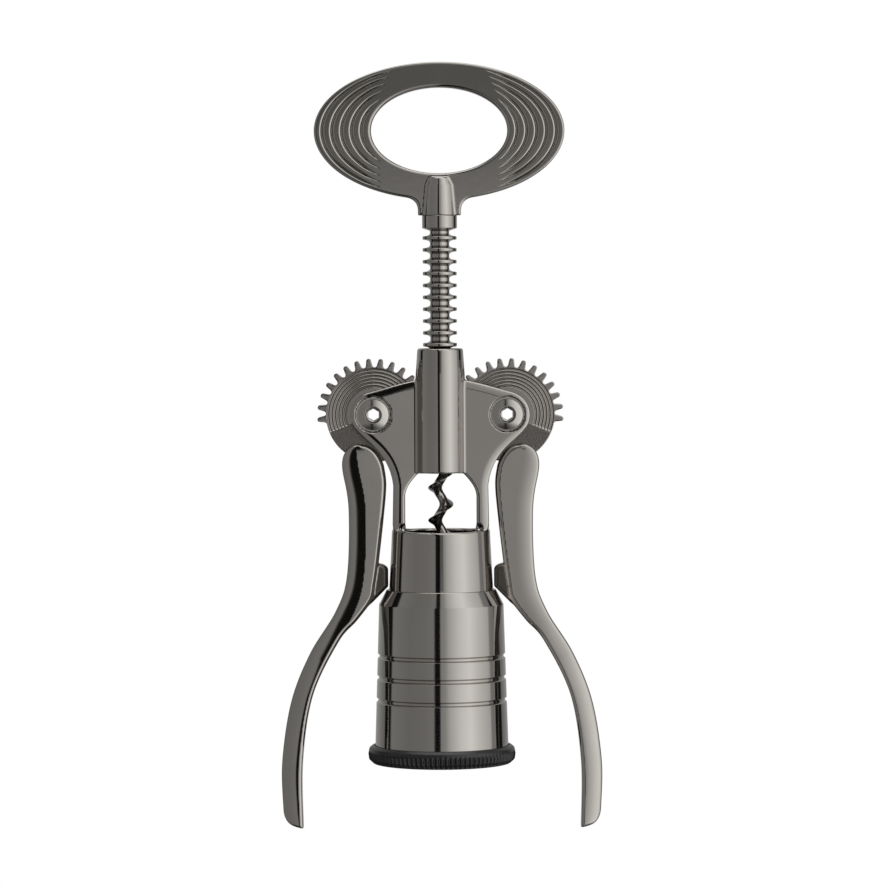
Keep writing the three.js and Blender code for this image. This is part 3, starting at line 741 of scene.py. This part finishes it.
def arm_field(outline):
    """An arm that rolls off to its outer flank and is bevelled along the inner one, with its stop knob."""
    knob = Outline(18.65, 62.4).line(18.65, 68.3)
    knob.bezier((19.0, 69.7), (20.3, 70.4), (23.5, 70.6)).line(30, 66).line(30, 52).line(24.4, 56.6)
    knob_edge = tabulated(knob.points)
    flank = Outline(36.6, 118).spline((34.9, 104), (32.5, 89.5), (33.2, 66.3), (37.3, 53.6), (46.4, 38.8))
    flank.spline((53.1, 21.9), (56.4, 0.7), (56.1, -16.2), (54.6, -28)).line(10, -28).line(10, 118)
    outer_flank = tabulated(flank.points)
    middle_heights = [-23, 0, 24, 43, 57, 70, 90, 105, 113]
    middle_x = [52.5, 52.7, 49.0, 40.0, 30.5, 28.0, 26.2, 27.0, 28.3]
    half_heights = [-23, 60, 113]
    halves = [3.9, 4.5, 4.6]

    def distance(x, y, z):
        edge = outline(x, z) + ARM_INSET
        deep = np.abs(y)
        outer = smoothstep(-1.5, 1.5, x - np.interp(z, middle_heights, middle_x))
        within = np.maximum(ARM_ROLL_WIDTH + outer_flank(x, z), 0)
        curve = np.interp(z, [20, 50], [0.035, 0.01])
        lip = ARM_LIP_DEPTH * outer * np.exp(np.minimum(edge, 0) / ARM_LIP_WIDTH)
        roll = ARM_ROLL_SLOPE * within + curve * within**2 + lip
        depth = deep - np.interp(z, half_heights, halves) + roll
        inner_width = np.interp(z, [20, 60], [0.7, 1.15])
        arm = bevelled_plate(edge, depth, inner_width * (1 - 0.75 * outer), 1.0, 0.35)
        stop = bevelled_plate(knob_edge(x, z), deep - KNOB_HALF, 1.0, 0.9, 0.4)
        return smooth_min(arm, stop, 0.4)

    return distance


def gear_field():
    """The right lever's gear sector round its pivot, with ring grooves in both faces."""
    step = 2 * math.pi / GEAR_TEETH
    root_u, root_half = 15.9, 1.32
    tip_u, tip_half = 18.91, 0.84
    length = tip_u - root_u
    lean = (root_half - tip_half) / length
    upright = math.sqrt(1 - lean * lean)

    def tooth(u, v):
        """A slender round-ended tooth along u, thinner at its tip."""
        u = u - root_u
        v = np.abs(v)
        along = -lean * v + upright * u
        side = upright * v + lean * u - root_half
        below = np.sqrt(u * u + v * v) - root_half
        above = np.sqrt((u - length) ** 2 + v * v) - tip_half
        return np.where(along < 0, below, np.where(along > upright * length, above, side))

    def distance(x, y, z):
        across, up = x - PIVOT_X, z - PIVOT_Z
        radius = np.sqrt(across * across + up * up)
        angle = np.arctan2(up, -across)
        number = np.clip(np.round((angle - GEAR_PHASE) / step - 0.5), GEAR_FIRST, GEAR_LAST)
        wrapped = np.round((angle + 2 * math.pi - GEAR_PHASE) / step - 0.5)
        number = np.where((angle < -1.5) & (wrapped <= GEAR_LAST), wrapped, number)
        local = angle - ((number + 0.5) * step + GEAR_PHASE)
        teeth = tooth(radius * np.cos(local), radius * np.sin(local))
        shape = smooth_min(radius - GEAR_ROOT, teeth, 0.8)
        turns = (GEAR_GROOVE_OUTER - radius) / GEAR_GROOVE_PITCH
        past_last = smoothstep(GEAR_GROOVES - 0.7, GEAR_GROOVES - 0.5, turns)
        band = smoothstep(-0.5, -0.3, turns) * (1 - past_last)
        outward = np.arctan2(up, across)
        ends = smoothstep(GEAR_GROOVES_END - 0.01, GEAR_GROOVES_END + 0.03, outward)
        ends = np.where(outward < -2.2, 0.0, ends)
        cut = GEAR_GROOVE_DEPTH / 2 * (1 + np.cos(2 * math.pi * turns)) * band * ends
        depth = np.abs(y) - GEAR_HALF + cut
        body = smooth_max(shape, depth, 0.25)
        return smooth_max(body, GEAR_EYE_RADIUS - radius, 0.2)

    return distance


def polar(radius, angle, depth):
    """A point at a radius and an angle round the right lever's pivot."""
    return PIVOT_X + radius * np.cos(angle), depth, PIVOT_Z + radius * np.sin(angle)


def make_levers():
    """Both levers, each an arm and a gear sector, with marks for darkening: the gear's unpolished as-cast
    patch, and the stop knob as painted shade.
    """
    arm_edge = tabulated(arm_outline())
    arm = field_mesh(arm_field(arm_edge), even_axes((17.6, -5.6, -24.0), (57.6, 5.6, 113.6), 0.37))
    gear_axes = [np.arange(4.6, 20.4, 0.13), full_turn(0, 90, 1.2, 1.2), np.arange(-3.2, 3.3, 0.3)]
    gear = field_mesh(gear_field(), gear_axes, polar, closed_turn=True)
    for side in ("right", "left"):
        body = f"lever_{side}"
        points, normals, faces = arm if side == "right" else flipped(*arm)
        # The stop knob is marked so that its base colour is darkened as painted shade.
        knob = smoothstep(0.0, 0.35, arm_edge(np.abs(points[:, 0]), points[:, 2]))
        piece = mesh_object(f"lever_arm_{side}", points, faces, normals, {"cast_and_shade": knob})
        fit_out(piece, body, "casting", CASTING, body)
        points, normals, faces = gear if side == "right" else flipped(*gear)
        across, up = np.abs(points[:, 0]) - PIVOT_X, points[:, 2] - PIVOT_Z
        angle = np.arctan2(up, across)
        below = 1 - smoothstep(GEAR_GROOVES_END - 0.04, GEAR_GROOVES_END, angle)
        cast_and_shade = below * (np.hypot(across, up) < GEAR_ROOT - 0.25)
        piece = mesh_object(f"gear_sector_{side}", points, faces, normals, {"cast_and_shade": cast_and_shade})
        fit_out(piece, body, "casting", GEAR, body)


# -------------------- handle

RING_CENTRE_Z = 222.4
RING_HALF = (43.96, 24.15)
HOLE_CENTRE_Z = 222.6
HOLE_HALF = (23.9, 15.0)
RING_HALF_THICKNESS = 2.8
RING_GROOVES = 5
RING_FIRST_GROOVE = 0.17
RING_GROOVE_PITCH = 0.172
RING_DISH_DEPTH, RING_SLIT_DEPTH = 0.4, 0.6
RING_NECK_FILLET = 4.4
HUB_HALF_WIDTH = 7.56


def ring_ellipse(level):
    """Half width, half height and centre of the ellipse at a level between hole and outer edge."""
    half_x = HOLE_HALF[0] + (RING_HALF[0] - HOLE_HALF[0]) * level
    half_z = HOLE_HALF[1] + (RING_HALF[1] - HOLE_HALF[1]) * level
    return half_x, half_z, HOLE_CENTRE_Z + (RING_CENTRE_Z - HOLE_CENTRE_Z) * level


def ring_level(x, z):
    """0 on the hole's edge and 1 on the ring's outer edge, even on every ellipse between them."""
    low, high = np.zeros(np.broadcast(x, z).shape), np.ones(np.broadcast(x, z).shape)
    for _ in range(26):
        middle = (low + high) / 2
        half_x, half_z, centre = ring_ellipse(middle)
        outside = (x / half_x) ** 2 + ((z - centre) / half_z) ** 2 > 1
        low, high = np.where(outside, middle, low), np.where(outside, high, middle)
    return (low + high) / 2


def handle_field():
    """A flat ring with grooves in both faces and a neck that holds a round boss."""
    hub_bottom, boss_top = handle_low[2], 206.3

    def distance(x, y, z):
        side, deep = np.abs(x), np.abs(y)
        outer = ellipse_distance(x, z - RING_CENTRE_Z, *RING_HALF)
        hole = ellipse_distance(x, z - HOLE_CENTRE_Z, *HOLE_HALF)
        neck = smooth_max(side - HUB_HALF_WIDTH, z - 207, 0.5)
        edge = smooth_min(outer, neck, RING_NECK_FILLET)
        edge = smooth_max(edge, hub_bottom - z, 0.5)
        phase = (ring_level(x, z) - RING_FIRST_GROOVE) / RING_GROOVE_PITCH
        band = (phase > -0.5) & (phase < RING_GROOVES - 0.5)
        start = np.where(z > RING_CENTRE_Z, 20.6 - 1.0 * np.clip(phase, 0, 4), 20.8)
        fade = smoothstep(start, start + 6.0, side)
        from_groove = np.abs((phase + 0.5) % 1 - 0.5) / (0.3 + 0.7 * fade)
        dish = 0.5 + 0.5 * np.cos(math.pi * np.minimum(from_groove / 0.29, 1))
        slit = 1 - smoothstep(0.03, 0.15, from_groove)
        groove = RING_DISH_DEPTH * dish + RING_SLIT_DEPTH * slit
        depth = deep - RING_HALF_THICKNESS + groove * band * fade
        plate = smooth_max(edge, depth, 0.8)
        rim = (-hole + depth + 0.6) * ROOT_HALF
        plate = smooth_max(smooth_max(plate, -hole, 0.5), rim, 0.4)
        boss_radius = np.interp(z, [hub_bottom, 203.5, boss_top], [5.95, 5.2, 4.1])
        boss = smooth_max(np.sqrt(x * x + y * y) - boss_radius, z - boss_top, 0.7)
        boss = smooth_max(boss, hub_bottom - z, 0.4)
        return smooth_min(plate, boss, 0.6)

    return distance


def on_ring(level, turn, depth):
    """A point on the ellipse at a level between the hole's edge, 0, and the outer edge, 1."""
    half_x, half_z, centre = ring_ellipse(level)
    return half_x * np.cos(turn), depth, centre + half_z * np.sin(turn)


def make_handle():
    levels = np.concatenate([np.arange(-0.06, 1.03, 0.0075), np.arange(1.04, 1.68, 0.03)])
    turns = full_turn(-107, -73, 0.6, 2.0)
    axes = [levels, turns, np.arange(-6.6, 6.7, 0.3)]
    points, normals, faces = field_mesh(handle_field(), axes, on_ring, closed_turn=True)
    piece = mesh_object("ring_handle", points, faces, normals)
    return fit_out(piece, "spindle", "casting", CASTING, "handle")


# -------------------- rack and worm


def make_rack():
    corners = [(0.0, rack_low[2]), (5.6, rack_low[2]), (RACK_RIDGE_RADIUS, rack_low[2] + 0.6)]
    corners += [(RACK_RIDGE_RADIUS, 110.9, 0.3), (RACK_ROOT_RADIUS, 111.6, 0.8)]
    for number in reversed(range(RACK_RIDGES)):
        middle = RACK_FIRST_RIDGE - number * RACK_PITCH
        corners += [
            (RACK_ROOT_RADIUS, middle - 1.25, 1.0),
            (4.7, middle - 0.75, 1.4),
            (RACK_RIDGE_RADIUS, middle - 0.6, 0.42),
            (RACK_RIDGE_RADIUS, middle + 0.6, 0.42),
            (4.7, middle + 0.75, 1.4),
            (RACK_ROOT_RADIUS, middle + 1.25, 1.0),
        ]
    collar_radius = rack_high[0]
    corners += [
        (RACK_ROOT_RADIUS, 187.4, 0.5),
        (collar_radius, 188.3, 0.4),
        (collar_radius, 192.75, 0.25),
        (0.0, 192.75),
    ]
    piece = turned("ridged_spindle", corners, 0.3, 4, 96, closed=False)
    return fit_out(piece, "spindle", "turned", RIDGED, "rack")


def make_worm():
    """A twisted blade that grows out of the rack's end and narrows to a point."""
    top, tip, tip_radius = 104.75, worm_low[2] + 0.1, 3.4
    corners = [(WORM_EDGE, 0.0), (4.3, 0.16), (2.7, 1.2), (1.4, 1.8), (0.4, 1.65), (-0.3, 0.9)]
    corners.append((-0.45, 0.0))
    corners += [(along, -across) for along, across in reversed(corners[1:-1])]
    ring = np.array(Outline(*corners[0]).spline(*corners[1:], corners[0], steps=4).points[:-1])[::-1]
    heights = np.linspace(tip, top, 421)
    angles = math.pi + 2 * math.pi * (heights - WORM_PEAK_Z) / WORM_PITCH
    full = np.minimum(1, 0.02 + (heights - tip) / (0.8 * WORM_PITCH))[:, None]
    along = tip_radius + (ring[:, 0] - tip_radius) * full
    across = ring[:, 1] * full
    cos, sin = np.cos(angles)[:, None], np.sin(angles)[:, None]
    level = np.broadcast_to(heights[:, None], along.shape)
    rings = np.stack([along * cos - across * sin, along * sin + across * cos, level], 2)
    points, faces = skin(rings)
    piece = mesh_object("worm_blade", points, faces)
    return fit_out(piece, "spindle", "worm", WORM_STEEL, "worm")


# -------------------- bell


def make_sleeve():
    top, bottom = sleeve_high[2], sleeve_low[2]
    bottom_radius = sleeve_high[0]
    shoulder_z, shoulder_radius = 56.0, 21.94
    bore, bore_top = 20.9, 50.2

    def wall(z):
        return np.interp(z, [bottom, shoulder_z], [bottom_radius, shoulder_radius])

    corners = [(bore, bottom), (bottom_radius, bottom, 0.4)]
    for z in (22.4, 30.3, 37.9):
        corners += [
            (wall(z - 0.9), z - 0.9, 0.12),
            (wall(z) - 0.6, z - 0.35, 0.12),
            (wall(z) - 0.6, z + 0.35, 0.12),
            (wall(z + 0.9), z + 0.9, 0.12),
        ]
    corners += [
        (shoulder_radius, shoulder_z, 0.7),
        (19.25, top, 0.35),
        (18.45, top, 0.15),
        (18.45, bore_top),
        (bore, bore_top),
    ]
    piece = turned("bell_shell", corners, 0.2, 4, 256)
    return fit_out(piece, "frame", "turned", TURNED, "bell_sleeve")


def make_bell_ring():
    """A rubber ring with fine upright ribs round the lower half of its edge."""
    top, radius = ring_high[2], ring_high[0]
    ribs, per_rib, rib_depth = 92, 6, 0.95
    corners = [
        (19.0, 0.0, 0.3),
        (24.1, 0.0, 0.8),
        (25.75, 1.5, 1.2),
        (radius - 0.02, 3.4, 0.5),
        (25.6, 5.4, 0.8),
        (24.5, top, 0.6),
        (23.72, top, 0.1),
        (23.72, 2.1),
        (19.0, 2.1, 0.3),
    ]
    rows = rounded(corners, 0.2, 4)
    finer = []
    for first, second in zip(rows, rows[1:] + rows[:1]):
        gap = math.dist(first[:2], second[:2])
        pieces = max(1, round(gap / 0.5))
        for t in np.arange(pieces) / pieces:
            finer.append(tuple(np.array(first) * (1 - t) + np.array(second) * t))
    points, _, faces = revolved(finer, ribs * per_rib)
    reach = np.hypot(points[:, 0], points[:, 1])
    angle = np.arctan2(points[:, 1], points[:, 0])
    wave = 0.5 - 0.5 * np.cos(ribs * angle)
    height = points[:, 2]
    where = smoothstep(0.15, 0.9, height) * (1 - smoothstep(3.6, 4.3, height))
    where = where * smoothstep(24.0, 24.8, reach)
    scale = 1 - rib_depth * wave**0.7 * where / reach
    points[:, :2] *= scale[:, None]
    piece = mesh_object("rubber_ring", points, faces)
    return fit_out(piece, "frame", "rubber", RUBBER, "bell_ring")


def make_cup():
    bottom, top = cup_low[2], cup_high[2]
    corners = [
        (16.5, bottom, 0.8),
        (20.3, bottom, 0.4),
        (20.3, top - 1, 0.4),
        (19.3, top, 0.4),
        (12.0, top, 0.5),
        (12.0, 31.0, 0.5),
        (14.6, 31.0, 1.0),
    ]
    piece = turned("cup_body", corners, 0.4, 4, 128)
    return fit_out(piece, "cup", "cup", PLASTIC, "centring_cup")


def make_spring():
    """The coil between the cup and the barrel, in a mesh of its own; the real coil shortens as the cup
    slides up.
    """
    wire, radius = 0.6, 16.6
    turns, per_turn, sides = 3.25, 60, 12
    t = np.linspace(0, 1, round(turns * per_turn) + 1)[:, None]
    heights = spring_low[2] + wire + (spring_high[2] - spring_low[2] - 2 * wire) * t
    angle = 2 * math.pi * turns * t
    turn = 2 * math.pi * np.arange(sides) / sides
    reach = radius + wire * np.cos(turn)
    rings = np.stack([reach * np.cos(angle), reach * np.sin(angle), heights + wire * np.sin(turn)], 2)
    points, faces = skin(rings)
    piece = mesh_object("coil_spring", points, faces)
    fit_out(piece, "frame", "spring", SPRING_STEEL, "cup_spring")
    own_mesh(piece)
    return piece


# -------------------- pivots and bushes


def hexagon_radius(angle):
    """How far out the socket's wall is at an angle."""
    return HEX_ACROSS_FLATS / 2 / np.cos((angle + math.pi / 6) % (math.pi / 3) - math.pi / 6)


def make_bolt(side, x):
    """A dished head with a hexagon socket that runs right through the shank."""
    head_back = WING_HALF - BOLT_SEAT_DEPTH + 0.1
    end = -WING_HALF + 0.2
    hexagon = HEX_ACROSS_FLATS / math.sqrt(3)
    corners = [
        (hexagon, end, 0.1),
        (BOLT_SHANK_RADIUS, end, 0.2),
        (BOLT_SHANK_RADIUS, head_back, 0.1),
        (5.45, head_back, 0.1),
        (5.45, WING_HALF - 0.85, 0.15),
        (3.05, WING_HALF, 0.12),
        (2.8, WING_HALF, 0.1),
        (hexagon + 0.3, WING_HALF - 1.6, 0.1),
        (hexagon, WING_HALF - 1.8, 0.1),
    ]
    points, normals, faces = revolved(rounded(corners, 0.15, 2), 120)
    angle = np.arctan2(points[:, 1], points[:, 0])
    reach = np.hypot(points[:, 0], points[:, 1])
    inner = 1 - smoothstep(hexagon + 0.02, hexagon + 0.35, reach)
    scale = (1 - inner) + inner * hexagon_radius(angle) / hexagon
    points[:, :2] *= scale[:, None]
    points, _ = along_y(points, normals, x, PIVOT_Z)
    piece = mesh_object(f"bolt_{side}", points, faces)
    piece.data.set_sharp_from_angle(angle=math.radians(35))
    return fit_out(piece, "frame", "bolt", faced_metal(f"faced_steel_{side}", x), f"pivot_bolt_{side}")


def make_nut(side, x):
    """A plain round nut in the seat behind the bolt."""
    inner = BOLT_SHANK_RADIUS + 0.15
    back = WING_HALF - BOLT_SEAT_DEPTH + 0.1
    corners = [
        (inner, back, 0.1),
        (BOLT_HEAD_RADIUS, back, 0.1),
        (BOLT_HEAD_RADIUS, WING_HALF, 0.3),
        (inner, WING_HALF, 0.25),
    ]
    piece = turned(f"nut_{side}", corners, 0.15, 3, 96, pivot=(x, PIVOT_Z, False))
    return fit_out(piece, "frame", "bolt", bpy.data.materials[f"faced_steel_{side}"], f"pivot_nut_{side}")


def make_lever_bush(side, x, front):
    """A flanged bush in the lever's eye."""
    corners = [
        (3.62, 0.1, 0.1),
        (5.0, 0.1, 0.2),
        (5.0, 2.3, 0.1),
        (7.0, 2.3, 0.1),
        (7.0, 2.9, 0.15),
        (3.62, 2.9, 0.2),
    ]
    end = "front" if front else "rear"
    piece = turned(f"eye_bush_{end}_{side}", corners, 0.1, 2, 72, pivot=(x, PIVOT_Z, front))
    return fit_out(piece, f"lever_{side}", "bush", BRONZE, f"lever_bush_{end}_{side}")


def make_guide_bush(name, node):
    low, high = box_mm(node)
    outer = high[0]
    inner = RACK_RIDGE_RADIUS + 0.15
    corners = [(inner, low[2], 0.25), (outer, low[2], 0.2), (outer, high[2], 0.2), (inner, high[2], 0.25)]
    piece = turned(name, corners, 0.2, 3, 96)
    return fit_out(piece, "spindle_guide", "bush", BRONZE, node)


# -------------------- building it all

make_frame()
make_levers()
make_handle()
make_rack()
make_worm()
make_sleeve()
make_bell_ring()
make_cup()
make_spring()
for side, x in (("left", -PIVOT_X), ("right", PIVOT_X)):
    make_bolt(side, x)
    make_nut(side, x)
    make_lever_bush(side, x, True)
    make_lever_bush(side, x, False)
make_guide_bush("top_guide", "upper_guide_bush")
make_guide_bush("foot_guide", "lower_guide_bush")

snap_ring = frame["nodes"]["cup_retaining_ring"]
snap_ring.data.materials.clear()
snap_ring.data.materials.append(SPRING_STEEL)


# -------------------- floor, light and camera


def make_floor():
    """A white light table under the lever tips, which neither lights the metal nor shows in it."""
    size, drop = 1.0, 0.002
    mesh = bpy.data.meshes.new("floor")
    z = cad_bounds[0].z - drop
    corners = [(-size, -size, z), (size, -size, z), (size, size, z), (-size, size, z)]
    mesh.from_pydata(corners, [], [(0, 1, 2, 3)])
    floor = bpy.data.objects.new("floor", mesh)
    bpy.context.scene.collection.objects.link(floor)
    material = bpy.data.materials.new("pale_floor")
    material.use_nodes = True
    nodes = Nodes(material.node_tree)
    glow = nodes.add("ShaderNodeEmission", {"Strength": 1.0})
    output = material.node_tree.nodes["Material Output"]
    nodes.link(glow.outputs[0], output.inputs["Surface"])
    mesh.materials.append(material)
    floor.visible_glossy = False
    floor.visible_diffuse = False


# Brightness round the horizon, as seen from the object: degrees from the front towards +X, and level.
STUDIO_BANDS = [
    (-180, 0.45), (-140, 0.36), (-119, 0.24), (-116, 0.01), (-102, 0.01), (-99, 0.34),
    (-60, 0.28), (-30, 0.3), (-14, 0.34), (-11.5, 0.01), (-2.5, 0.01), (-2.1, 0.42), (6, 0.47),
    (14, 0.75), (34, 1.15), (52, 1.35), (70, 1.05), (95, 0.75), (98, 0.36), (111, 0.3),
    (114, 0.01), (129, 0.01), (132, 0.26), (150, 0.36), (180, 0.45),
]


CEILING_FROM, CEILING_TO, CEILING_LEVEL = 0.86, 0.94, 2.0
UNDERSIDE_FROM, UNDERSIDE_TO, UNDERSIDE_LEVEL = -0.72, -0.52, 0.25
PATCH_LEVEL = 0.4
PATCH_FOOT, PATCH_TOP = (0.012, 0.04), (0.07, 0.11)
PATCH_SIDE = (0.055, 0.1)


def make_studio():
    """Soft panels and black flags all round, which light the object; the camera sees plain white.

    They are brighter overhead and dimmer below, and a small patch straight in front, just above the
    horizon, is dimmed. Heights are the Z part of the direction, and PATCH_SIDE is in radians."""
    world = bpy.data.worlds.new("studio")
    bpy.context.scene.world = world
    world.use_nodes = True
    nodes = Nodes(world.node_tree)
    world.node_tree.nodes.clear()
    direction = nodes.add("ShaderNodeTexCoord").outputs["Generated"]
    parts = nodes.add("ShaderNodeSeparateXYZ", {0: direction}).outputs
    front = nodes.math("MULTIPLY", parts["Y"], -1.0)
    azimuth = nodes.math("ARCTAN2", parts["X"], front)
    ramp = nodes.add("ShaderNodeValToRGB", {"Fac": nodes.ranged(azimuth, -math.pi, math.pi)})
    stops = ramp.color_ramp.elements
    for i, (degrees, level) in enumerate(STUDIO_BANDS):
        place = (degrees + 180) / 360
        stop = stops[i] if i < 2 else stops.new(place)
        stop.position = place
        stop.color = (level, level, level, 1)
    ceiling = nodes.ranged(parts["Z"], CEILING_FROM, CEILING_TO)
    panels = nodes.mixed(ceiling, ramp.outputs["Color"], (CEILING_LEVEL,) * 3 + (1,))
    below = nodes.ranged(parts["Z"], UNDERSIDE_FROM, UNDERSIDE_TO, UNDERSIDE_LEVEL, 1.0)
    patch = nodes.ranged(parts["Z"], *PATCH_FOOT, 1.0, PATCH_LEVEL)
    aside = nodes.ranged(nodes.math("ABSOLUTE", azimuth), *PATCH_SIDE)
    higher = nodes.ranged(parts["Z"], *PATCH_TOP)
    patch = nodes.math("MAXIMUM", nodes.math("MAXIMUM", patch, aside), higher)
    strength = nodes.math("MULTIPLY", below, patch)
    lit = nodes.add("ShaderNodeBackground", {"Color": panels, "Strength": strength})
    white = nodes.add("ShaderNodeBackground", {"Color": (1, 1, 1, 1), "Strength": 1.0})
    seen = nodes.add("ShaderNodeLightPath").outputs["Is Camera Ray"]
    sky = nodes.add("ShaderNodeMixShader", {0: seen, 1: lit.outputs[0], 2: white.outputs[0]})
    nodes.add("ShaderNodeOutputWorld", {"Surface": sky.outputs[0]})
    bpy.context.scene.view_settings.view_transform = "Standard"


CAMERA_DISTANCE = 1.5
CAMERA_HEIGHT = 0.166
CAMERA_LENS = 173.45
CAMERA_ROLL = math.radians(-0.27)
AIM_RIGHT, AIM_RISE = 0.0007, 0.0012


def make_camera():
    """A long lens straight in front, a little above the middle, aimed just off the object's centre."""
    low, high = cad_bounds
    target = Vector((AIM_RIGHT, 0, (low.z + high.z) / 2 + AIM_RISE))
    data = bpy.data.cameras.new("camera")
    data.lens = CAMERA_LENS
    data.clip_end = 20
    camera = bpy.data.objects.new("camera", data)
    bpy.context.scene.collection.objects.link(camera)
    camera.location = Vector((0, -CAMERA_DISTANCE, CAMERA_HEIGHT))
    look = (target - camera.location).to_track_quat("-Z", "Y")
    camera.rotation_euler = (look.to_matrix() @ Matrix.Rotation(CAMERA_ROLL, 3, "Z")).to_euler()
    bpy.context.scene.camera = camera


make_floor()
make_studio()
make_camera()
